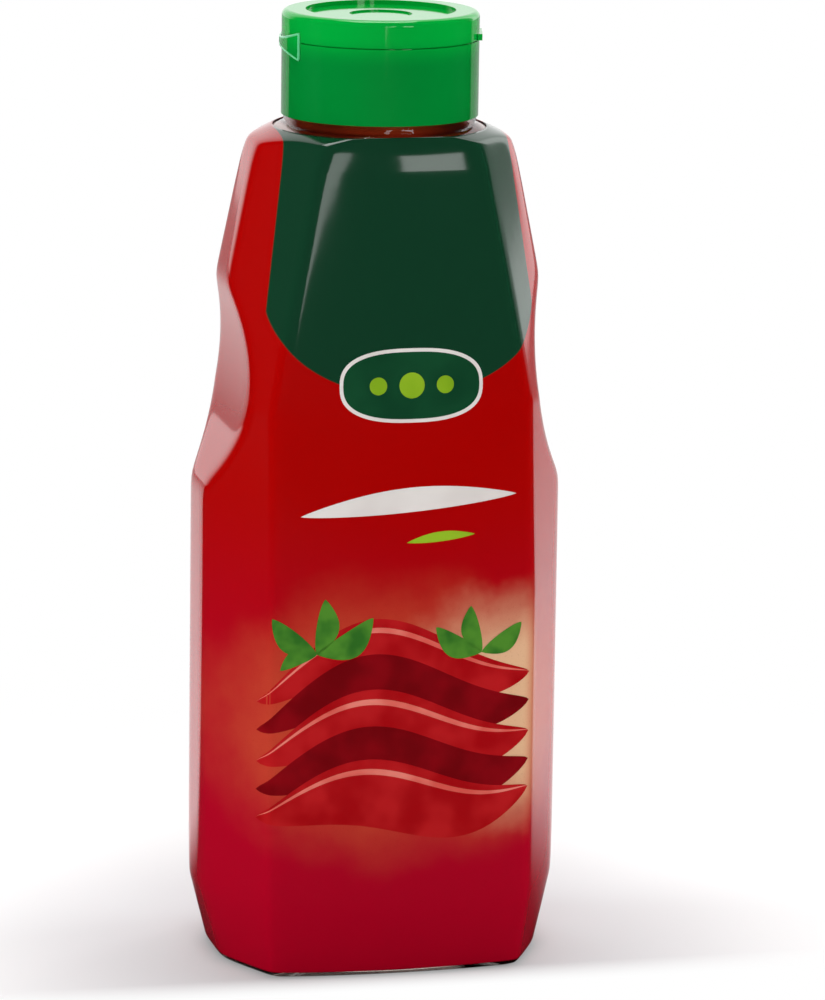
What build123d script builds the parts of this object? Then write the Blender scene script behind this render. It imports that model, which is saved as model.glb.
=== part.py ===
"""Squeeze bottle of ketchup, standing shut: a clear blow-moulded bottle full of ketchup, a printed
shrink sleeve over it, and a moulded flip-top closure on its neck.

Frame: origin at the middle of the foot, +Z up, +X to the right of the front face, the front face
towards -Y. Millimetres.

The outside of the body is an eight-sided form: wide bowed front and back faces, narrow side faces,
and a bevel face across each corner between them. Above the panel it leans in on all sides, a round
grip is scooped from both sides, the corners are cut back again at the heel, and the shoulder is a
low cone that runs up to the neck. The sleeve, the bottle and the ketchup share that form: each one
is the same form moved in by the walls around it, so they meet face to face.
"""

import os
from collections import namedtuple
from math import cos, radians, tan

from build123d import *

os.makedirs("parts", exist_ok=True)

# Body, measured over the sleeve
body_width = 92.4
body_height = 213.6
heel_rise = 19.0
heel_cut_drop = 5.0
panel_rise = 98.0
taper_drop = 68.6
front_drop = 33.6

# Corners of the eight-sided section: half widths of the front face, half depths of the side face
panel_corner_x = 33.6
panel_corner_y = 31.6
panel_side_y = 9.2
taper_corner_x = 32.6
taper_corner_y = 28.6
taper_side_y = 8.8
front_width = 78.0
front_corner_x = 26.0
front_corner_y = 26.35
front_side_y = 8.0
top_width = 64.2
top_corner_x = 19.4
top_corner_y = 24.2
top_side_y = 7.0
foot_width = 82.0
foot_corner_x = 32.0
foot_corner_y = 29.0
foot_side_y = 10.6

# Outward bow of the front and back faces
panel_bow = 3.0
taper_bow = 2.2
front_bow = 1.6
top_bow = 1.0

# Grip scooped from both sides
waist_width = 73.6
waist_drop = 60.1
grip_radius = 55.0

# Rounding of the long corners and of the edges that run round the body
corner_round = 3.5
side_round = 3.5
shoulder_round = 3.0
heel_round = 2.0

# Shoulder cone
shoulder_slope = 26.0

# Walls
film = 0.3
wall = 0.9
foot_wall = 1.6
neck_wall = 2.0
foot_recess_width = 48.0
foot_recess_depth = 32.0
foot_recess_rise = 1.6
foot_recess_round = 12.0

# Sleeve ends, and how far the ketchup stands below the neck's rim
sleeve_foot_gap = 1.4
sleeve_top_drop = 2.3
headspace = 6.0

# Flip-top closure
cap_diameter = 49.2
cap_rise = 18.9
cap_wall = 1.3
cap_roof = 1.6
cap_gap = 0.4
fit_gap = 0.1
lid_rise = 7.1
lid_roof = 1.6
lid_wall = 2.0
lid_round = 1.5
seam_gap = 0.3
seam_depth = 0.7
lid_dish_diameter = 37.4
lid_dish_depth = 1.1
lid_dimple_diameter = 15.6
lid_dimple_depth = 0.4
spout_diameter = 14.0
spout_bore = 5.0
spout_rise = 1.6

# Thumb tab and butterfly hinge on opposite sides of the closure
closure_turn = -13.0
tab_width = 12.0
tab_reach = 0.6
tab_rise = 1.6
hinge_width = 29.2
hinge_end_rise = 6.6
hinge_knot_rise = 1.6
hinge_depth = 0.9
hinge_proud = 0.5
hinge_drop = 0.8

# Heights and radii that follow from these
taper_height = body_height - taper_drop
front_height = body_height - front_drop
waist_height = body_height - waist_drop
cap_height = body_height + cap_gap
seam_height = cap_height + cap_rise
hinge_height = seam_height - hinge_drop
closure_top = seam_height + lid_rise
dish_floor = closure_top - lid_dish_depth
plug_radius = spout_bore / 2 - fit_gap
lid_ceiling = dish_floor - lid_dimple_depth - lid_roof
cap_radius = cap_diameter / 2
cap_bore_radius = cap_radius - cap_wall
neck_radius = cap_bore_radius - fit_gap
neck_top = seam_height - cap_roof - fit_gap

# Where the foot's bevel face would end if it kept its direction; the heel cuts start from there.
foot_bevel_y = foot_corner_y - (panel_corner_y - panel_side_y) * (
    (foot_width / 2 - foot_corner_x) / (body_width / 2 - panel_corner_x)
)

Station = namedtuple("Station", "height corner_x corner_y side_x side_y bow")

stations = [
    Station(0, foot_corner_x, foot_corner_y, foot_width / 2, foot_bevel_y, panel_bow),
    Station(heel_rise, panel_corner_x, panel_corner_y, body_width / 2, panel_side_y, panel_bow),
    Station(panel_rise, panel_corner_x, panel_corner_y, body_width / 2, panel_side_y, panel_bow),
    Station(taper_height, taper_corner_x, taper_corner_y, body_width / 2, taper_side_y, taper_bow),
    Station(front_height, front_corner_x, front_corner_y, front_width / 2, front_side_y, front_bow),
    Station(body_height, top_corner_x, top_corner_y, top_width / 2, top_side_y, top_bow),
]


def section(level, inset):
    """The rounded eight-sided outline at one station, moved in by inset."""
    with BuildSketch(Plane.XY.offset(level.height)) as outline:
        with BuildLine():
            front = ThreePointArc(
                (-level.corner_x, -level.corner_y),
                (0, -level.corner_y - level.bow),
                (level.corner_x, -level.corner_y),
            )
            right = Polyline(
                front @ 1,
                (level.side_x, -level.side_y),
                (level.side_x, level.side_y),
                (level.corner_x, level.corner_y),
            )
            back = ThreePointArc(
                right @ 1,
                (0, level.corner_y + level.bow),
                (-level.corner_x, level.corner_y),
            )
            Polyline(
                back @ 1,
                (-level.side_x, level.side_y),
                (-level.side_x, -level.side_y),
                front @ 0,
            )
        make_face()
        columns = outline.vertices().group_by(Axis.X)
        fillet(columns[1] + columns[-2], corner_round)
        fillet(columns[0] + columns[-1], side_round)
        if inset:
            offset(amount=-inset, kind=Kind.INTERSECTION)
    return outline.sketch


def heel_plane(side, face, inset):
    """Plane that cuts one lower corner back, from the side edge down to the foot's front corner."""
    edge_top = Vector(side * body_width / 2, face * panel_side_y, heel_rise)
    front_foot = Vector(side * foot_corner_x, face * foot_corner_y, -heel_cut_drop)
    side_foot = Vector(side * foot_width / 2, face * foot_side_y, 0)
    outward = (front_foot - edge_top).cross(side_foot - edge_top).normalized()
    if outward.X * side < 0:
        outward = -outward
    return Plane(origin=edge_top - outward * inset, z_dir=outward)


def body_form(inset, foot):
    """The body's outside moved in by inset, standing on a foot at the given height."""
    slope = radians(shoulder_slope)
    top = body_height - inset / cos(slope)
    brim = top - (body_width - neck_radius) * tan(slope)
    with BuildPart() as form:
        loft([section(level, inset) for level in stations], ruled=True)
        for side in (-1, 1):
            for face in (-1, 1):
                split(bisect_by=heel_plane(side, face, inset), keep=Keep.BOTTOM)
        with BuildSketch(Plane.XZ):
            with Locations(
                (-waist_width / 2 - grip_radius, waist_height),
                (waist_width / 2 + grip_radius, waist_height),
            ):
                Circle(grip_radius + inset)
        extrude(amount=body_width, both=True, mode=Mode.SUBTRACT)
        with BuildSketch(Plane.XZ):
            with BuildLine():
                Polyline(
                    (0, foot),
                    (body_width, foot),
                    (body_width, brim),
                    (neck_radius, top),
                    (0, top),
                    close=True,
                )
            make_face()
        revolve(axis=Axis.Z, mode=Mode.INTERSECT)
        shoulder = form.faces().filter_by(GeomType.CONE)
        fillet(shoulder.edges().filter_by(GeomType.BSPLINE), shoulder_round - inset)
        fillet(form.edges().group_by(Axis.Z)[0], heel_round - inset)
    return form.part


def hollow(top):
    """Room inside the bottle: the body inside its walls, and the neck's bore up to a height."""
    with BuildPart() as room:
        add(body_form(film + wall, foot_recess_rise + foot_wall))
        with BuildSketch(Plane.XY.offset(front_height)):
            Circle(neck_radius - neck_wall)
        extrude(amount=top - front_height)
    return room.part


hinge_plane = Plane((0, 0, hinge_height), x_dir=(0, -1, 0), z_dir=(-1, 0, 0)).rotated((0, 0, closure_turn))


def bow_tie():
    """Outline of the hinge: tall at both ends, and drawn in along four arcs to the knot."""
    wing, end, knot = hinge_width / 2, hinge_end_rise / 2, hinge_knot_rise / 2
    middle = knot + (end - knot) / 4
    with BuildSketch(hinge_plane) as outline:
        with BuildLine():
            ThreePointArc((-wing, end), (-wing / 2, middle), (0, knot))
            ThreePointArc((0, knot), (wing / 2, middle), (wing, end))
            Line((wing, end), (wing, -end))
            ThreePointArc((wing, -end), (wing / 2, -middle), (0, -knot))
            ThreePointArc((0, -knot), (-wing / 2, -middle), (-wing, -end))
            Line((-wing, -end), (-wing, end))
        make_face()
    return outline.sketch


with BuildPart() as ketchup:
    add(hollow(neck_top - headspace))
ketchup.part.label = "ketchup"

with BuildPart() as bottle:
    add(body_form(film, 0))
    with BuildSketch(Plane.XY.offset(front_height)):
        Circle(neck_radius)
    extrude(amount=neck_top - front_height)
    add(hollow(neck_top), mode=Mode.SUBTRACT)
    with BuildSketch():
        RectangleRounded(foot_recess_width, foot_recess_depth, foot_recess_round)
    extrude(amount=foot_recess_rise, mode=Mode.SUBTRACT)
bottle.part.label = "bottle"

with BuildPart() as sleeve:
    add(body_form(0, 0))
    split(bisect_by=Plane.XY.offset(sleeve_foot_gap), keep=Keep.TOP)
    split(bisect_by=Plane.XY.offset(body_height - sleeve_top_drop), keep=Keep.BOTTOM)
    add(body_form(film, 0), mode=Mode.SUBTRACT)
sleeve.part.label = "sleeve"

with BuildPart() as hinge:
    with BuildSketch(Plane.XZ):
        with Locations((cap_radius - hinge_depth, hinge_height)):
            Rectangle(
                hinge_depth + hinge_proud, hinge_end_rise, align=(Align.MIN, Align.CENTER)
            )
    revolve(axis=Axis.Z)
    extrude(bow_tie(), amount=cap_diameter, mode=Mode.INTERSECT)
hinge.part.label = "hinge"

with BuildPart() as cap:
    with BuildSketch(Plane.XZ):
        with BuildLine():
            Polyline(
                (cap_bore_radius, cap_height),
                (cap_radius, cap_height),
                (cap_radius, seam_height),
                (spout_diameter / 2, seam_height),
                (spout_diameter / 2, seam_height + spout_rise),
                (spout_bore / 2, seam_height + spout_rise),
                (spout_bore / 2, seam_height - cap_roof),
                (cap_bore_radius, seam_height - cap_roof),
                close=True,
            )
        make_face()
    revolve(axis=Axis.Z)
    add(hinge.part, mode=Mode.SUBTRACT)
cap.part.label = "cap"

with BuildPart() as lid:
    with BuildSketch(Plane.XZ):
        with BuildLine():
            Polyline(
                (0, seam_height),
                (plug_radius, seam_height),
                (plug_radius, lid_ceiling),
                (cap_radius - lid_wall, lid_ceiling),
                (cap_radius - lid_wall, seam_height),
                (cap_radius - seam_depth, seam_height),
                (cap_radius - seam_depth, seam_height + seam_gap),
                (cap_radius, seam_height + seam_gap),
                (cap_radius, closure_top),
                (lid_dish_diameter / 2, closure_top),
                (lid_dish_diameter / 2, dish_floor),
                (lid_dimple_diameter / 2, dish_floor),
                (lid_dimple_diameter / 2, dish_floor - lid_dimple_depth),
                (0, dish_floor - lid_dimple_depth),
                close=True,
            )
        make_face()
    revolve(axis=Axis.Z)
    brim = lid.edges().filter_by(GeomType.CIRCLE).group_by(Axis.Z)[-1].sort_by(SortBy.RADIUS)
    fillet(brim[-1], lid_round)
    with BuildSketch(Plane.XY.offset(seam_height + seam_gap)):
        with PolarLocations(cap_radius, 1, start_angle=closure_turn):
            Rectangle(2 * tab_reach, tab_width)
    extrude(amount=tab_rise)
    add(hinge.part, mode=Mode.SUBTRACT)
lid.part.label = "lid"

for piece in (bottle, ketchup, sleeve, cap, hinge, lid):
    export_step(piece.part, f"parts/{piece.part.label}.step")
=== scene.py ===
from math import cos, pi, radians, sin

import bpy
import numpy as np
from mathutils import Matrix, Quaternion, Vector


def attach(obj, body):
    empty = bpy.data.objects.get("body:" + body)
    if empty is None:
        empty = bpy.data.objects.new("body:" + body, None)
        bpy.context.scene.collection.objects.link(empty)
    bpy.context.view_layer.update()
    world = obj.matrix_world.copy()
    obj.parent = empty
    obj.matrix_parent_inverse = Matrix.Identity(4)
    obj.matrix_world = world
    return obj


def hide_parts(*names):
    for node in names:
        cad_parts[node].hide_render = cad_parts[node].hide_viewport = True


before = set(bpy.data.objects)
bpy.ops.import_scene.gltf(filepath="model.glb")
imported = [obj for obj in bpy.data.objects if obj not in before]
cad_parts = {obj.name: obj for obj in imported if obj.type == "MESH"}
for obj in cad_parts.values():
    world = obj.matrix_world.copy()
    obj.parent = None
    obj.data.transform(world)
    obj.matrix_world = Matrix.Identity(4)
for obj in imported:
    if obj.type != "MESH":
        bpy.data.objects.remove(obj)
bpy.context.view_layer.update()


# ---- Shrink sleeve ----
# Clear polyester film, gravure-printed on its inner face and shrunk tight by steam on an eight-sided
# bottle. The real film is about 0.05 mm thick and is drawn 0.16 mm thick, just inside the body's
# outside, so that the printed shapes on it stay within the body. It keeps a slight orange-peel.

MM = 0.001
BODY_TOP = 213.6
NECK_RADIUS = 23.2

# The bottle's outline at six heights: the corner of the front face, the half width, where the side
# face ends, and how far the front bows out.
LEVELS = np.array([0, 19, 98, 145, 180, BODY_TOP])
CORNER_X = np.array([32.0, 33.6, 33.6, 32.6, 26.0, 19.4])
CORNER_Y = np.array([29.0, 31.6, 31.6, 28.6, 26.35, 24.2])
HALF_WIDTH = np.array([41.0, 46.2, 46.2, 46.2, 39.0, 32.1])
SIDE_Y = np.array([12.8, 9.2, 9.2, 8.8, 8.0, 7.0])
BOW = np.array([3.0, 3.0, 3.0, 2.2, 1.6, 1.0])
GRIP_RADIUS, GRIP_HEIGHT, GRIP_HALF_WIDTH = 55.0, 153.5, 36.8
SHOULDER_SLOPE = radians(26)
HEEL_CUT = np.array([[46.2, 9.2, 19.0], [32.0, 29.0, -5.0], [41.0, 10.6, 0.0]])
HEEL_ROUND = 2.0

# How sharp the edges between faces are: crisp up to 196 mm and softer from 208 mm. From 201.5 mm the
# body also eases inwards, along a parabola that fits a circle of 42 mm.
EDGE_SHARPNESS = {196: 60, 208: 42}
EASE_HEIGHT, EASE_RADIUS = 201.5, 42.0

FILM = 0.3
FACE_INSET, BACK_INSET = 0.12, 0.28
SLEEVE_FOOT, SLEEVE_TOP = 1.4, 211.3
COLUMNS = 360


def body_radius(angle, height):
    """Distance from the axis to the body's outside: the rounded intersection of its faces.

    Each face alone stops a ray from the axis at some distance. The inverse distances, each raised to
    a high power, are added, and the sum's root gives the nearest face with soft edges between. The
    foot then curls in along a circle, and the shoulder by its height above the ease, squared.
    """
    corner_x, corner_y, half_width, side_y, bow = (
        np.interp(height, LEVELS, row) for row in (CORNER_X, CORNER_Y, HALF_WIDTH, SIDE_Y, BOW)
    )
    across, out = np.abs(np.cos(angle)), np.abs(np.sin(angle))
    arc_radius = (corner_x**2 + bow**2) / (2 * bow)
    arc_centre = arc_radius - corner_y - bow
    along = out * arc_centre
    front = -along + np.sqrt(along**2 - arc_centre**2 + arc_radius**2)
    bevel_x, bevel_y = corner_y - side_y, half_width - corner_x
    bevel = (bevel_x * across + bevel_y * out) / (bevel_x * half_width + bevel_y * side_y)
    drop = np.clip(height - GRIP_HEIGHT, 1 - GRIP_RADIUS, GRIP_RADIUS - 1)
    grip = GRIP_HALF_WIDTH + GRIP_RADIUS - np.sqrt(GRIP_RADIUS**2 - drop**2)
    cone = NECK_RADIUS + (BODY_TOP - height) / np.tan(SHOULDER_SLOPE)
    normal = np.cross(HEEL_CUT[1] - HEEL_CUT[0], HEEL_CUT[2] - HEEL_CUT[0])
    normal = normal * np.sign(normal[0])
    heel = (normal[0] * across + normal[1] * out) / (normal @ HEEL_CUT[0] - normal[2] * height)
    faces = np.broadcast_arrays(1 / front, across / half_width, bevel, across / grip, 1 / cone, heel)
    sharpness = np.interp(height, list(EDGE_SHARPNESS), list(EDGE_SHARPNESS.values()))
    radius = (np.maximum(faces, 0) ** sharpness).sum(0) ** (-1 / sharpness)
    ease = np.maximum(height - EASE_HEIGHT, 0) ** 2 / (2 * EASE_RADIUS)
    tuck = HEEL_ROUND - np.sqrt(HEEL_ROUND**2 - np.clip(HEEL_ROUND - height, 0, HEEL_ROUND) ** 2)
    return radius - tuck - ease


def body_surface(angle, height, inset):
    """Points on the body's outside in metres, moved in along its normal by the inset.

    The normal is the cross product of two short chords, one round the body and one up it.
    """
    angle, height = np.broadcast_arrays(angle, height)
    half_rise, half_turn = 0.02, 0.0005

    def point(turn, rise):
        """Point a little round and a little up from each place."""
        level = np.clip(height + rise, 0, BODY_TOP)
        radius = body_radius(angle + turn, level)
        return np.stack([radius * np.cos(angle + turn), radius * np.sin(angle + turn), level], -1)

    normal = np.cross(
        point(half_turn, 0) - point(-half_turn, 0),
        point(0, half_rise) - point(0, -half_rise),
    )
    normal /= np.linalg.norm(normal, axis=-1, keepdims=True)
    return (point(0, 0) - inset * normal) * MM


def heights(low, high):
    """Column of heights between two limits, closer together at the heel, the grips and the shoulder."""
    rows = np.concatenate([
        np.linspace(low, 4, 8, endpoint=False),
        np.linspace(4, 24, 14, endpoint=False),
        np.linspace(24, 112, 30, endpoint=False),
        np.linspace(112, 180, 50, endpoint=False),
        np.linspace(180, 203, 12, endpoint=False),
        np.linspace(203, high, 34),
    ])
    return rows[:, None]


def grid_faces(rows, columns, closed):
    """Quads of a grid of points, joined round when it is closed."""
    index = np.arange(rows * columns).reshape(rows, columns)
    right = np.roll(index, -1, axis=1)
    last = columns if closed else columns - 1
    quads = np.stack([index[:-1], right[:-1], right[1:], index[1:]], -1)[:, :last]
    return quads.reshape(-1, 4)


def shell(outer, inner):
    """Closed band of two grids: outside, inside turned over, and a strip across each open end."""
    rows, columns = outer.shape[:2]
    front = grid_faces(rows, columns, True)
    back = front[:, ::-1] + rows * columns
    foot = np.arange(columns)
    next_foot = np.roll(foot, -1)
    low = np.stack([foot, foot + rows * columns, next_foot + rows * columns, next_foot], -1)
    high = low[:, ::-1] + (rows - 1) * columns
    points = np.concatenate([outer.reshape(-1, 3), inner.reshape(-1, 3)])
    return points, np.concatenate([front, back, low, high])


def add_piece(name, points, faces, material):
    """Smooth mesh piece from points in metres, riding on the one body."""
    mesh = bpy.data.meshes.new(name)
    mesh.from_pydata(points.reshape(-1, 3).tolist(), [], faces.tolist())
    mesh.polygons.foreach_set("use_smooth", [True] * len(mesh.polygons))
    mesh.materials.append(material)
    mesh.update()
    piece = bpy.data.objects.new(name, mesh)
    bpy.context.collection.objects.link(piece)
    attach(piece, "root")
    return piece


def linear(code):
    """Linear colour from an sRGB hex value: a straight foot, then a power of 2.4."""
    value = np.array([int(code[i:i + 2], 16) for i in (1, 3, 5)]) / 255
    return (*np.where(value > 0.04045, ((value + 0.055) / 1.055) ** 2.4, value / 12.92), 1.0)


def noise_scale(size):
    """Scale of a noise whose patches are this many millimetres wide: one over the size in metres."""
    return 1 / (size * MM)


def node(tree, kind, inputs=None, **settings):
    """Add a shader node. An input takes a value, a socket, or a node for that node's first output."""
    made = tree.nodes.new(kind)
    for key, value in settings.items():
        setattr(made, key, value)
    for key, value in (inputs or {}).items():
        if isinstance(value, bpy.types.Node):
            value = value.outputs[0]
        if isinstance(value, bpy.types.NodeSocket):
            tree.links.new(value, made.inputs[key])
        else:
            made.inputs[key].default_value = value
    return made


def new_material(name):
    """Empty node material and its tree."""
    material = bpy.data.materials.new(name)
    material.use_nodes = True
    material.node_tree.nodes.clear()
    return material, material.node_tree


def ellipse(tree, place, centre, reach):
    """Distance from an ellipse's centre on the front, 1 on its rim: place less centre, over reach."""
    shrink = (1 / (reach[0] * MM), 0, 1 / (reach[1] * MM))
    shift = (-centre[0] / reach[0], 0, -centre[1] / reach[1])
    local = node(tree, "ShaderNodeVectorMath", {0: place, 1: shrink, 2: shift}, operation="MULTIPLY_ADD")
    return node(tree, "ShaderNodeVectorMath", {0: local}, operation="LENGTH").outputs["Value"]


def sleeve_material():
    """Ink under clear film: deep flat colours with a sharp gloss on top, and a slow ripple in it.

    Red everywhere, a warm glow low on the front, then the dark green panel over the upper front. The
    ink's dots are 0.1 mm wide, too fine to show, so its speckle is drawn 0.38 mm wide.
    """
    material, tree = new_material("printed_shrink_film")
    place = node(tree, "ShaderNodeTexCoord").outputs["Object"]
    x, y, z = node(tree, "ShaderNodeSeparateXYZ", {0: place}).outputs
    front = node(tree, "ShaderNodeMath", {0: y, 1: 0.0}, operation="LESS_THAN")
    cloud = node(tree, "ShaderNodeTexNoise",
                 {"Vector": place, "Scale": noise_scale(26.316), "Detail": 4.0, "Roughness": 0.6})
    drift = node(tree, "ShaderNodeMath", {0: cloud, 1: 0.5, 2: -0.25}, operation="MULTIPLY_ADD")

    # the red cools a little towards the foot
    low = node(tree, "ShaderNodeMapRange", {"Value": z, "From Min": 130 * MM, "From Max": 50 * MM},
               interpolation_type="SMOOTHSTEP")
    colour = node(tree, "ShaderNodeMix", {0: low, 6: linear("#A80100"), 7: linear("#AC0020")},
                  data_type="RGBA").outputs[2]

    # warm glow: a wide orange ellipse and a cream one inside it, which stops at the front's right edge
    halo = ellipse(tree, place, (2.0, 66.0), (62.0, 42.0))
    halo = node(tree, "ShaderNodeMath", {0: halo, 1: drift}, operation="ADD")
    orange = node(tree, "ShaderNodeMapRange",
                  {"Value": halo, "From Min": 1.0, "From Max": 0.45, "To Max": 0.85},
                  interpolation_type="SMOOTHSTEP")
    orange = node(tree, "ShaderNodeMath", {0: orange, 1: front}, operation="MULTIPLY")
    colour = node(tree, "ShaderNodeMix", {0: orange, 6: colour, 7: linear("#C2482E")},
                  data_type="RGBA").outputs[2]
    core = ellipse(tree, place, (29.0, 69.0), (44.0, 35.0))
    core = node(tree, "ShaderNodeMath", {0: core, 1: drift}, operation="ADD")
    cream = node(tree, "ShaderNodeMapRange",
                 {"Value": core, "From Min": 1.0, "From Max": 0.35, "To Max": 0.9},
                 interpolation_type="SMOOTHSTEP")
    on_face = node(tree, "ShaderNodeMapRange", {"Value": x, "From Min": 36.5 * MM, "From Max": 31 * MM},
                   interpolation_type="SMOOTHSTEP")
    cream = node(tree, "ShaderNodeMath", {0: cream, 1: on_face}, operation="MULTIPLY")
    cream = node(tree, "ShaderNodeMath", {0: cream, 1: front}, operation="MULTIPLY")
    colour = node(tree, "ShaderNodeMix", {0: cream, 6: colour, 7: linear("#E6BC94")},
                  data_type="RGBA").outputs[2]

    speckle = node(tree, "ShaderNodeTexNoise",
                   {"Vector": place, "Scale": noise_scale(0.38462), "Detail": 2.0, "Roughness": 0.7})
    fleck = node(tree, "ShaderNodeMapRange",
                 {"Value": speckle, "From Min": 0.55, "From Max": 0.8, "To Max": 0.25},
                 interpolation_type="SMOOTHSTEP")
    colour = node(tree, "ShaderNodeMix", {0: fleck, 6: colour, 7: linear("#8C0206")},
                  data_type="RGBA").outputs[2]

    # green panel: a band that widens downwards by 0.135 for each unit, with a broad round foot, an
    # ellipse below 171 mm; its edge is the largest of the distances outside these limits
    middle, panel_foot, foot_level, foot_reach = 1.5 * MM, 149 * MM, 171, (34.5, 23.0)
    aside = node(tree, "ShaderNodeMath", {0: x, 1: middle}, operation="SUBTRACT")
    aside = node(tree, "ShaderNodeMath", {0: aside}, operation="ABSOLUTE")
    aside = node(tree, "ShaderNodeMath", {0: z, 1: 0.135, 2: aside}, operation="MULTIPLY_ADD")
    aside = node(tree, "ShaderNodeMath", {0: aside, 1: 57 * MM}, operation="SUBTRACT")
    below = node(tree, "ShaderNodeMath", {0: panel_foot, 1: z}, operation="SUBTRACT")
    round_foot = ellipse(tree, place, (1.5, foot_level), foot_reach)
    round_foot = node(tree, "ShaderNodeMath", {0: round_foot, 1: foot_reach[1] * MM, 2: -foot_reach[1] * MM},
                      operation="MULTIPLY_ADD")
    low_part = node(tree, "ShaderNodeMath", {0: z, 1: foot_level * MM}, operation="LESS_THAN")
    outside = node(tree, "ShaderNodeMath", {0: low_part, 1: 10 * MM, 2: -10 * MM}, operation="MULTIPLY_ADD")
    foot_edge = node(tree, "ShaderNodeMath", {0: low_part, 1: round_foot, 2: outside},
                     operation="MULTIPLY_ADD")
    edge = node(tree, "ShaderNodeMath", {0: aside, 1: foot_edge}, operation="MAXIMUM")
    edge = node(tree, "ShaderNodeMath", {0: edge, 1: below}, operation="MAXIMUM")
    panel = node(tree, "ShaderNodeMapRange", {"Value": edge, "From Min": 0.25 * MM, "From Max": -0.05 * MM},
                 interpolation_type="SMOOTHSTEP")
    panel = node(tree, "ShaderNodeMath", {0: panel, 1: front}, operation="MULTIPLY")
    colour = node(tree, "ShaderNodeMix", {0: panel, 6: colour, 7: linear("#103A25")},
                  data_type="RGBA").outputs[2]

    peel = node(tree, "ShaderNodeTexNoise",
                {"Vector": place, "Scale": noise_scale(14.286), "Detail": 2.0})
    bump = node(tree, "ShaderNodeBump", {"Height": peel, "Strength": 0.006, "Distance": 2 * MM})
    shader = node(tree, "ShaderNodeBsdfPrincipled",
                  {"Base Color": colour, "Normal": bump, "Roughness": 0.07, "IOR": 1.5})
    node(tree, "ShaderNodeOutputMaterial", {"Surface": shader})
    return material


turns = np.linspace(-pi, pi, COLUMNS, endpoint=False)[None, :]
rows = heights(SLEEVE_FOOT, SLEEVE_TOP)
points, faces = shell(body_surface(turns, rows, FACE_INSET), body_surface(turns, rows, BACK_INSET))
sleeve = add_piece("shrink_sleeve", points, faces, sleeve_material())
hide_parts("sleeve")


# ---- Printed shapes ----
# The rest of the print, in the same inks: a plain oval badge with three dots, a pale and a lime stroke,
# and a stack of flowing ribbons with leaf sprigs over the glow. Each layer lies 0.018 mm proud.

PRINT_LIFT = 0.018


def print_ink(name, low, high, patch=16.667):
    """Gravure ink: two close tones in a soft drift of this patch size, under the film's gloss."""
    material, tree = new_material(name)
    place = node(tree, "ShaderNodeTexCoord").outputs["Object"]
    drift = node(tree, "ShaderNodeTexNoise", {"Vector": place, "Scale": noise_scale(patch), "Detail": 2.0})
    tone = node(tree, "ShaderNodeMapRange", {"Value": drift, "From Min": 0.35, "From Max": 0.65},
                interpolation_type="SMOOTHSTEP")
    colour = node(tree, "ShaderNodeMix", {0: tone, 6: linear(low), 7: linear(high)}, data_type="RGBA")
    shader = node(tree, "ShaderNodeBsdfPrincipled",
                  {"Base Color": colour.outputs[2], "Roughness": 0.07, "IOR": 1.5})
    node(tree, "ShaderNodeOutputMaterial", {"Surface": shader})
    return material


def print_shape(name, x, z, layer, material):
    """Lay a flat grid of places on the front.

    Each depth starts 30 mm in front of the axis and moves 12 times to the surface at its bearing.
    """
    y = np.full(x.shape, -30.0)
    for _ in range(12):
        angle = np.arctan2(y, x)
        y = body_radius(angle, z) * np.sin(angle)
    points = body_surface(np.arctan2(y, x), z, FACE_INSET - PRINT_LIFT * layer)
    piece = add_piece(name, points, grid_faces(*x.shape, False), material)


def oval(centre, reach, corner=2.6):
    """Places on an oval from its middle to its rim: cosine and sine to a power that squares it off."""
    share = np.linspace(0.001, 1, 8)[:, None]
    turn = np.linspace(0, 2 * pi, 65)[None, :]
    across = np.sign(np.cos(turn)) * np.abs(np.cos(turn)) ** (2 / corner)
    along = np.sign(np.sin(turn)) * np.abs(np.sin(turn)) ** (2 / corner)
    return centre[0] + reach[0] * share * across, centre[1] + reach[1] * share * along


def leaf(root, tip, fat, bend, steps=24):
    """Places on a leaf: a bent line from root to tip, as wide as a half sine wave."""
    along = np.linspace(0, 1, steps)[:, None]
    side = np.linspace(-1, 1, 7)[None, :]
    root, tip = np.array(root), np.array(tip)
    run = tip - root
    cross = np.array([-run[1], run[0]])
    width = fat * np.sin(pi * along) ** 0.8 * side + bend * np.sin(pi * along)
    return root[0] + run[0] * along + cross[0] * width, root[1] + run[1] * along + cross[1] * width


RIBBON_LEFT, RIBBON_LENGTH = -36, 69
RIBBON_RISE, RIBBON_WAVE = 7, 5
STACK_MIDDLE = 62


def ribbon(middle, thick, low, high):
    """Places on a ribbon: a rising sine line, as thick as a half sine wave, between two depths.

    Towards its ends each ribbon draws in to the stack's middle by a fifth.
    """
    share = np.linspace(0, 1, 90)[None, :]
    depth = np.linspace(low, high, 8)[:, None]
    x = RIBBON_LEFT + RIBBON_LENGTH * share + 0 * depth
    spread = 0.8 + 0.2 * np.sin(pi * share)
    line = STACK_MIDDLE + (middle - STACK_MIDDLE) * spread + RIBBON_RISE * (share - 0.5)
    line = line + RIBBON_WAVE * np.sin(2 * pi * (0.95 * share - 0.08))
    return x, line + thick * np.sin(pi * share) ** 0.7 * depth


white_ink = print_ink("white_ink", "#DDD6D2", "#E6E0DC")
dark_green_ink = print_ink("dark_green_ink", "#0F3F26", "#14492C")
lime_ink = print_ink("lime_ink", "#7FA81E", "#95BC2A")
leaf_ink = print_ink("leaf_ink", "#2F6B22", "#4F8A2C", 6.25)
sauce_ink = print_ink("sauce_ink", "#A3060E", "#B91A1E", 11.111)
shade_ink = print_ink("shade_ink", "#6E0209", "#860510", 11.111)
shine_ink = print_ink("shine_ink", "#D8564C", "#E88274", 11.111)

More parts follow.
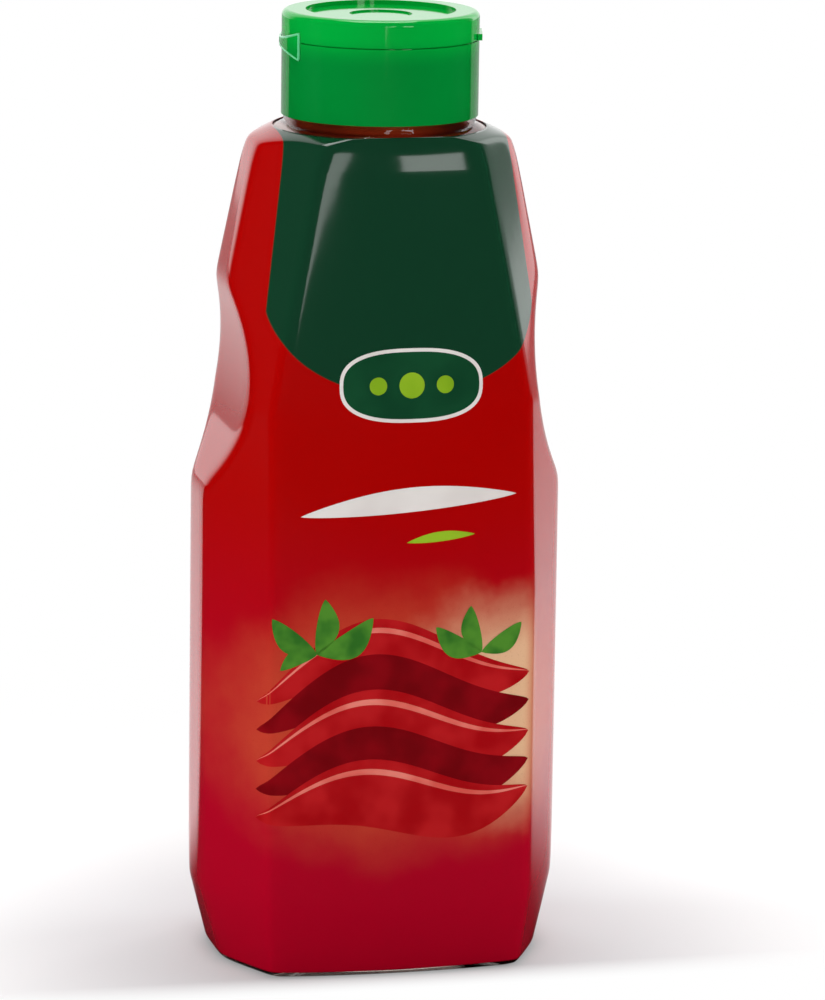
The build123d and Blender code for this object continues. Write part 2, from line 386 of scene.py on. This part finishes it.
BADGE_X, BADGE_Z = 2.0, 150.5
print_shape("badge_rim", *oval((BADGE_X, BADGE_Z), (18.2, 9.2)), 1, white_ink)
print_shape("badge_field", *oval((BADGE_X, BADGE_Z), (17.3, 8.3)), 2, dark_green_ink)
for side, across, reach in (("left", -8.5, 2.2), ("middle", 0.0, 3.2), ("right", 8.5, 2.2)):
    print_shape(f"badge_dot_{side}", *oval((BADGE_X + across, BADGE_Z), (reach, reach), 2.0), 3, lime_ink)
print_shape("pale_stroke", *leaf((-26.0, 118.5), (29.0, 122.5), 0.055, 0.03, 60), 1, white_ink)
print_shape("lime_stroke", *leaf((0.5, 111.5), (18.0, 113.0), 0.07, 0.03, 40), 1, lime_ink)

for number, (middle, thick, ink) in enumerate([
    (81.0, 8.0, sauce_ink),
    (72.0, 8.0, shade_ink),
    (62.0, 9.0, sauce_ink),
    (53.0, 8.5, shade_ink),
    (44.0, 9.0, sauce_ink),
]):
    print_shape(f"sauce_ribbon_{number}", *ribbon(middle, thick, -1.0, 1.0), number + 1, ink)
    if ink is sauce_ink:
        print_shape(f"sauce_shine_{number}", *ribbon(middle, thick, 0.55, 0.72), number + 1.5, shine_ink)

LEFT_SPRIG, RIGHT_SPRIG = (-22.0, 84.0), (20.0, 83.0)
for number, (root, tip, bend) in enumerate([
    (LEFT_SPRIG, (-33.0, 93.0), 0.12),
    (LEFT_SPRIG, (-20.0, 98.0), -0.12),
    (LEFT_SPRIG, (-8.0, 93.0), -0.16),
    (LEFT_SPRIG, (-31.0, 80.0), -0.14),
    (RIGHT_SPRIG, (30.5, 90.0), -0.12),
    (RIGHT_SPRIG, (17.0, 95.0), 0.12),
    (RIGHT_SPRIG, (8.0, 90.0), 0.14),
]):
    print_shape(f"sprig_leaf_{number}", *leaf(root, tip, 0.2, bend), 6, leaf_ink)


# ---- Clear bottle ----
# Blow-moulded PET, bare only at the foot and in a narrow ring under the closure, where the ketchup
# shows through. Its wall is 0.9 mm thick.

NECK_TOP, NECK_BORE = 231.2, 21.2
WALL = 0.9


def ring_rows(radii, levels):
    """Rows of a round neck from matching radii and heights in millimetres."""
    radii, levels = np.array(radii)[:, None], np.array(levels)[:, None]
    return np.stack([radii * np.cos(turns), radii * np.sin(turns), levels + 0 * turns], -1) * MM


def pet_material():
    """Clear thin PET: seen through, with a gloss that grows at a slant by Fresnel's law.

    The shoulder's ends outside the neck are given a pale pink diffuse colour, a painted glow of the light
    that comes in from behind.
    """
    material, tree = new_material("clear_pet")
    clear = node(tree, "ShaderNodeBsdfTransparent", {"Color": linear("#F7EBE6")})
    # painted light: a pale pink diffuse colour in place of the light that comes through the shoulder's ends
    # from behind
    painted_backlight = node(tree, "ShaderNodeBsdfDiffuse", {"Color": linear("#F6DAD6")})
    gloss = node(tree, "ShaderNodeBsdfGlossy", {"Roughness": 0.04})
    split = node(tree, "ShaderNodeSeparateXYZ", {0: node(tree, "ShaderNodeTexCoord").outputs["Object"]})
    aside = node(tree, "ShaderNodeMath", {0: split}, operation="ABSOLUTE")
    outward = node(tree, "ShaderNodeMapRange",
                   {"Value": aside, "From Min": 22.5 * MM, "From Max": 25.5 * MM, "To Max": 0.6},
                   interpolation_type="SMOOTHSTEP")
    high = node(tree, "ShaderNodeMapRange",
                {"Value": split.outputs["Z"], "From Min": 208.5 * MM, "From Max": 210.5 * MM},
                interpolation_type="SMOOTHSTEP")
    # the painted glow shows only above 208.5 mm and outside the neck's width
    painted_backlight_mask = node(tree, "ShaderNodeMath", {0: high, 1: outward}, operation="MULTIPLY")
    wall = node(tree, "ShaderNodeMixShader", {0: painted_backlight_mask, 1: clear, 2: painted_backlight})
    rim = node(tree, "ShaderNodeFresnel", {"IOR": 1.57})
    shader = node(tree, "ShaderNodeMixShader", {0: rim, 1: wall, 2: gloss})
    node(tree, "ShaderNodeOutputMaterial", {"Surface": shader})
    return material


outside = body_surface(turns, heights(0.0, 212.6), FILM)
outside[..., 2] -= outside[..., 2].min()
neck_radii = [NECK_RADIUS + 0.9, NECK_RADIUS, NECK_RADIUS, NECK_RADIUS]
neck = ring_rows(neck_radii, [213.0, BODY_TOP, 214.4, NECK_TOP])
inside = body_surface(turns, heights(1.5, 211.4), FILM + WALL)
bore = ring_rows([NECK_BORE + 0.4, NECK_BORE, NECK_BORE], [212.3, 213.2, NECK_TOP])
TO_MIDDLE, TO_RING = (0, 0, 1), (0.6, 0.6, 1)
profile = np.concatenate([
    outside[:1] * 0, outside[:1] * TO_RING, outside, neck,
    bore[::-1], inside[::-1], inside[:1] * TO_RING, inside[:1] * TO_MIDDLE,
])
bottle = add_piece("clear_bottle", profile, grid_faces(len(profile), COLUMNS, True), pet_material())
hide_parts("bottle")


# ---- Ketchup ----
# Thick tomato sauce, filled hot to 6 mm below the neck's rim. It fills the bottle's corners and clings
# to the wall.

HEADSPACE = 6


def ketchup_material():
    """Tomato sauce: wet, dark red-brown with pulp 2 mm wide, and lighter in the neck, lit through."""
    material, tree = new_material("tomato_sauce")
    place = node(tree, "ShaderNodeTexCoord").outputs["Object"]
    pulp = node(tree, "ShaderNodeTexNoise", {"Vector": place, "Scale": noise_scale(2.0), "Detail": 3.0})
    colour = node(tree, "ShaderNodeMix", {0: pulp, 6: linear("#7A1A08"), 7: linear("#9A2A10")},
                  data_type="RGBA").outputs[2]
    height = node(tree, "ShaderNodeSeparateXYZ", {0: place}).outputs["Z"]
    lit = node(tree, "ShaderNodeMapRange",
               {"Value": height, "From Min": 210.5 * MM, "From Max": 214.5 * MM},
               interpolation_type="SMOOTHSTEP")
    colour = node(tree, "ShaderNodeMix", {0: lit, 6: colour, 7: linear("#A84A20")},
                  data_type="RGBA").outputs[2]
    shader = node(tree, "ShaderNodeBsdfPrincipled", {"Base Color": colour, "Roughness": 0.25, "IOR": 1.4})
    node(tree, "ShaderNodeOutputMaterial", {"Surface": shader})
    return material


sauce = np.concatenate([
    body_surface(turns, heights(1.0, 211.6), FILM + 0.6 * WALL),
    ring_rows([NECK_BORE + 0.7, NECK_BORE + 0.3, NECK_BORE + 0.3], [212.5, 213.4, NECK_TOP - HEADSPACE]),
])
sauce = np.concatenate([sauce[:1] * TO_MIDDLE, sauce, sauce[-1:] * TO_MIDDLE])
ketchup = add_piece("ketchup_fill", sauce, grid_faces(len(sauce), COLUMNS, True), ketchup_material())
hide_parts("ketchup")


# ---- Flip-top closure ----
# One polypropylene moulding in opaque green: a plain skirt, a lid with a shallow dish and a thumb lip,
# and a butterfly hinge. The CAD's own cap, lid and hinge are shown.

def polypropylene_material():
    """Polished polypropylene: a clear green with a sharp gloss, and painted light that makes the lid a
    lighter green.

    The mould's texture is finer than 0.1 mm, too fine to show, so it is drawn 1.1 mm wide.
    """
    material, tree = new_material("green_polypropylene")
    place = node(tree, "ShaderNodeTexCoord").outputs["Object"]
    grain = node(tree, "ShaderNodeTexNoise", {"Vector": place, "Scale": noise_scale(1.1111), "Detail": 3.0})
    height = node(tree, "ShaderNodeSeparateXYZ", {0: place}).outputs["Z"]
    # painted light: the closure's green turns lighter from 228 to 236 mm, over the lid
    painted_top_light = node(tree, "ShaderNodeMapRange", {"Value": height, "From Min": 228 * MM, "From Max": 236 * MM},
                interpolation_type="SMOOTHSTEP")
    colour = node(tree, "ShaderNodeMix", {0: painted_top_light, 6: linear("#008230"), 7: linear("#00A438")},
                  data_type="RGBA").outputs[2]
    bump = node(tree, "ShaderNodeBump", {"Height": grain, "Strength": 0.004, "Distance": 0.2 * MM})
    shader = node(tree, "ShaderNodeBsdfPrincipled",
                  {"Base Color": colour, "Normal": bump, "Roughness": 0.07, "IOR": 1.49})
    node(tree, "ShaderNodeOutputMaterial", {"Surface": shader})
    return material


green = polypropylene_material()
for name in ("cap", "lid", "hinge"):
    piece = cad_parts[name]
    piece.data.materials.clear()
    piece.data.materials.append(green)


# ---- Hinge beads ----
# Each wing of the butterfly hinge is a thin web with a raised bead moulded round it. The bead shows as a
# bright line, which is painted light: a pale green in place of the light that comes through it.

CLOSURE_RADIUS = 24.6
HINGE_HEIGHT, HINGE_TURN = 232.1, radians(167)
WING_WIDTH, WING_REACH, KNOT_REACH = 14.4, 3.2, 0.9
WEB_PROUD, BEAD = 0.3, 0.32


def bead_material():
    """Green polypropylene with painted light: paler than the closure, for the light through the thin bead,
    and glossy.
    """
    material, tree = new_material("painted_light_green_polypropylene")
    # painted light: a pale green for the light that comes through the thin bead
    shader = node(tree, "ShaderNodeBsdfPrincipled",
                  {"Base Color": linear("#5CC98A"), "Roughness": 0.12, "IOR": 1.49})
    node(tree, "ShaderNodeOutputMaterial", {"Surface": shader})
    return material


def wing_bead(name, side, material):
    """A round bead carried round one wing, whose height grows with the square of its reach."""
    out = np.linspace(0, 1, 24)
    flare = KNOT_REACH + (WING_REACH - KNOT_REACH) * out**2
    end = np.linspace(1, -1, 14)[1:-1] * WING_REACH
    knot = np.array([-0.5, 0, 0.5]) * KNOT_REACH
    across = np.concatenate([out, np.ones(12), out[::-1], np.zeros(3)]) * side * WING_WIDTH
    turn = HINGE_TURN + np.arcsin(across / CLOSURE_RADIUS)
    height = HINGE_HEIGHT + np.concatenate([flare, end, -flare[::-1], knot])
    run = np.stack([
        (np.roll(turn, -1) - np.roll(turn, 1)) * CLOSURE_RADIUS,
        np.roll(height, -1) - np.roll(height, 1),
    ])
    run /= np.linalg.norm(run, axis=0)
    section = np.linspace(0, 2 * pi, 10, endpoint=False)[:, None]
    shift = BEAD * np.cos(section)
    radius = CLOSURE_RADIUS + WEB_PROUD + BEAD * np.sin(section)
    angle = turn - shift * run[1] / CLOSURE_RADIUS
    level = height + shift * run[0]
    points = np.stack([radius * np.cos(angle), radius * np.sin(angle), level], -1).transpose(1, 0, 2) * MM
    points = np.concatenate([points, points[:1]])
    bead = add_piece(name, points, grid_faces(*points.shape[:2], True), material)


painted_light_bead_green = bead_material()
wing_bead("hinge_bead_front", 1, painted_light_bead_green)
wing_bead("hinge_bead_back", -1, painted_light_bead_green)


# ---- Studio floor ----
# A white sweep of matte paper, with a soft grey shadow to both sides of the foot. Gloss sees it only
# behind the bottle: in front and beside, it meets the dark of the studio.

FLOOR_REACH = 3.0


def studio_material():
    """Matte white paper. For the camera it turns plain white in front and away from the bottle."""
    material, tree = new_material("white_floor")
    place = node(tree, "ShaderNodeTexCoord").outputs["Object"]
    x, y, _ = node(tree, "ShaderNodeSeparateXYZ", {0: place}).outputs
    reach = node(tree, "ShaderNodeVectorMath", {0: place}, operation="LENGTH").outputs["Value"]
    ray = node(tree, "ShaderNodeLightPath")

    near = node(tree, "ShaderNodeMapRange", {"Value": reach, "From Min": 55 * MM, "From Max": 130 * MM},
                interpolation_type="SMOOTHSTEP")
    shade = node(tree, "ShaderNodeMix", {0: near, 6: linear("#D2D2D4"), 7: linear("#F4F4F4")},
                 data_type="RGBA").outputs[2]
    matte = node(tree, "ShaderNodeBsdfPrincipled", {"Base Color": shade, "Roughness": 0.9})
    white = node(tree, "ShaderNodeEmission", {"Color": linear("#FFFFFF"), "Strength": 1.0})
    far = node(tree, "ShaderNodeMapRange",
               {"Value": reach, "From Min": 90 * MM, "From Max": 300 * MM, "To Min": 0.2, "To Max": 1.0},
               interpolation_type="SMOOTHSTEP")
    ahead = node(tree, "ShaderNodeMapRange", {"Value": y, "From Min": -22 * MM, "From Max": -45 * MM},
                 interpolation_type="SMOOTHSTEP")
    plain = node(tree, "ShaderNodeMath", {0: far, 1: ahead}, operation="MAXIMUM")
    plain = node(tree, "ShaderNodeMath", {0: plain, 1: ray.outputs["Is Camera Ray"]}, operation="MULTIPLY")
    paper = node(tree, "ShaderNodeMixShader", {0: plain, 1: matte, 2: white})

    # behind is y less a share of |x|: 0.55 on the right, 1.5 on the left
    dark = node(tree, "ShaderNodeBsdfDiffuse", {"Color": linear("#272727")})
    left = node(tree, "ShaderNodeMath", {0: x, 1: 0.0}, operation="LESS_THAN")
    slope = node(tree, "ShaderNodeMath", {0: left, 1: 0.95, 2: 0.55}, operation="MULTIPLY_ADD")
    beside = node(tree, "ShaderNodeMath", {0: x}, operation="ABSOLUTE")
    beside = node(tree, "ShaderNodeMath", {0: beside, 1: slope}, operation="MULTIPLY")
    behind = node(tree, "ShaderNodeMath", {0: y, 1: beside}, operation="SUBTRACT")
    away = node(tree, "ShaderNodeMapRange", {"Value": behind, "From Min": 30 * MM, "From Max": -30 * MM},
                interpolation_type="SMOOTHSTEP")
    unseen = node(tree, "ShaderNodeMath", {0: away, 1: ray.outputs["Is Glossy Ray"]}, operation="MULTIPLY")
    shader = node(tree, "ShaderNodeMixShader", {0: unseen, 1: paper, 2: dark})
    node(tree, "ShaderNodeOutputMaterial", {"Surface": shader})
    return material


def stage_sheet(name, corners, material):
    """A flat sheet of the studio, which isn't part of the object."""
    mesh = bpy.data.meshes.new(name)
    mesh.from_pydata(corners, [], [list(range(len(corners)))])
    mesh.materials.append(material)
    sheet = bpy.data.objects.new(name, mesh)
    bpy.context.collection.objects.link(sheet)
    return sheet


floor_corners = [(FLOOR_REACH * x, FLOOR_REACH * y, 0) for x, y in ((-1, -1), (1, -1), (1, 1), (-1, 1))]
stage_sheet("studio_floor", floor_corners, studio_material())


# ---- Soft boxes and cards ----
# Four large soft boxes light the bottle, and the three fills leave no reflection. Two bright cards in
# front are seen by gloss only: a bent strip near the middle and a broad one high on the right.

MIDDLE = (0, 0, 0.13)


def soft_box(name, place, width, height, power, glossy):
    """Rectangular soft box that faces the bottle's middle, with its power in watts."""
    lamp = bpy.data.lights.new(name, "AREA")
    lamp.shape = "RECTANGLE"
    lamp.size, lamp.size_y = width, height
    lamp.energy = power
    box = bpy.data.objects.new(name, lamp)
    box.location = place
    box.rotation_euler = (Vector(MIDDLE) - Vector(place)).to_track_quat("-Z", "Y").to_euler()
    box.visible_glossy = glossy
    box.visible_camera = False
    bpy.context.collection.objects.link(box)


def bright_card(name, outline, depth, strength):
    """Upright card in front of the bottle that only gloss sees, from its outline across and up."""
    material, tree = new_material(name)
    glow = node(tree, "ShaderNodeEmission", {"Color": linear("#FFFFFF"), "Strength": strength})
    node(tree, "ShaderNodeOutputMaterial", {"Surface": glow})
    card = stage_sheet(name, [(x, -depth, z) for x, z in outline], material)
    card.visible_camera = False
    card.visible_diffuse = False
    card.visible_shadow = False


soft_box("fill_front", (-0.3, -1.6, 0.7), 1.2, 1.2, 15.5, False)
soft_box("fill_left", (-1.2, 0.15, 0.3), 0.5, 1.2, 9.0, False)
soft_box("fill_right", (1.2, 0.1, 0.3), 0.5, 1.2, 9.0, False)
soft_box("soft_box_top", (0.0, 0.1, 1.3), 0.8, 0.6, 8.0, True)
bright_card("strip_card", [
    (-0.076, 0.170),
    (-0.066, 0.170),
    (0.014, 0.2065),
    (0.045, 0.360),
    (-0.010, 0.360),
    (-0.041, 0.2065),
], 0.55, 3.2)
bright_card("shoulder_card", [(0.112, 0.235), (0.222, 0.235), (0.222, 0.335), (0.112, 0.335)], 0.5, 4.2)


# ---- Surroundings ----
# White to the camera and through clear plastic. Gloss sees white panels only behind the bottle, by
# their bearing from straight behind, and a dark studio elsewhere.

world = bpy.data.worlds.new("white_surroundings")
world.use_nodes = True
bpy.context.scene.world = world
tree = world.node_tree
tree.nodes.clear()
direction = node(tree, "ShaderNodeTexCoord").outputs["Generated"]
direction = node(tree, "ShaderNodeSeparateXYZ", {0: direction}).outputs
bearing = node(tree, "ShaderNodeMath", {0: direction["X"], 1: direction["Y"]}, operation="ARCTAN2")
panel_edge = node(tree, "ShaderNodeMapRange",
                  {"Value": bearing, "From Min": radians(58.4), "From Max": radians(57.9)},
                  interpolation_type="SMOOTHSTEP")
panel_level = node(tree, "ShaderNodeMapRange",
                   {"Value": bearing, "From Min": 0.7, "From Max": 0.9, "To Min": 1.2, "To Max": 2.0},
                   interpolation_type="SMOOTHSTEP")
panel = node(tree, "ShaderNodeMath", {0: panel_edge, 1: panel_level}, operation="MULTIPLY")
dusk = node(tree, "ShaderNodeMapRange",
            {"Value": bearing, "From Min": radians(72), "From Max": radians(60), "To Max": 0.35},
            interpolation_type="SMOOTHSTEP")
left_edge = node(tree, "ShaderNodeMapRange",
                 {"Value": bearing, "From Min": radians(-50), "From Max": radians(-28)},
                 interpolation_type="SMOOTHSTEP")
backdrop = node(tree, "ShaderNodeMath", {0: panel, 1: dusk}, operation="MAXIMUM")
backdrop = node(tree, "ShaderNodeMath", {0: backdrop, 1: left_edge}, operation="MULTIPLY")
level = node(tree, "ShaderNodeMath", {0: backdrop, 1: 0.98, 2: 0.02}, operation="MULTIPLY_ADD")
ray = node(tree, "ShaderNodeLightPath")
straight = node(tree, "ShaderNodeMath",
                {0: ray.outputs["Is Camera Ray"], 1: ray.outputs["Is Transmission Ray"]}, operation="MAXIMUM")
level = node(tree, "ShaderNodeMath", {0: straight, 1: level}, operation="MAXIMUM")
light = node(tree, "ShaderNodeBackground", {"Color": linear("#FFFFFF"), "Strength": level})
node(tree, "ShaderNodeOutputWorld", {"Surface": light})


# ---- Camera ----
# A long lens a little above the bottle's middle and left of its front, turned a little on its axis.

TARGET = np.array([0, 0, 0.12])
AZIMUTH, ELEVATION, ROLL, DISTANCE = radians(13.246), radians(11.739), radians(0.737), 1.43505
camera_data = bpy.data.cameras.new("camera")
camera_data.lens = 204.6
camera_data.sensor_width = 36
camera_data.shift_x = 0.0377
camera_data.shift_y = -0.0178
camera = bpy.data.objects.new("camera", camera_data)
away = np.array([-sin(AZIMUTH) * cos(ELEVATION), -cos(AZIMUTH) * cos(ELEVATION), sin(ELEVATION)])
camera.location = TARGET + DISTANCE * away
camera.rotation_mode = "QUATERNION"
camera.rotation_quaternion = Vector(-away).to_track_quat("-Z", "Y") @ Quaternion((0, 0, 1), ROLL)
bpy.context.collection.objects.link(camera)
bpy.context.scene.camera = camera
bpy.context.scene.view_settings.view_transform = "Standard"
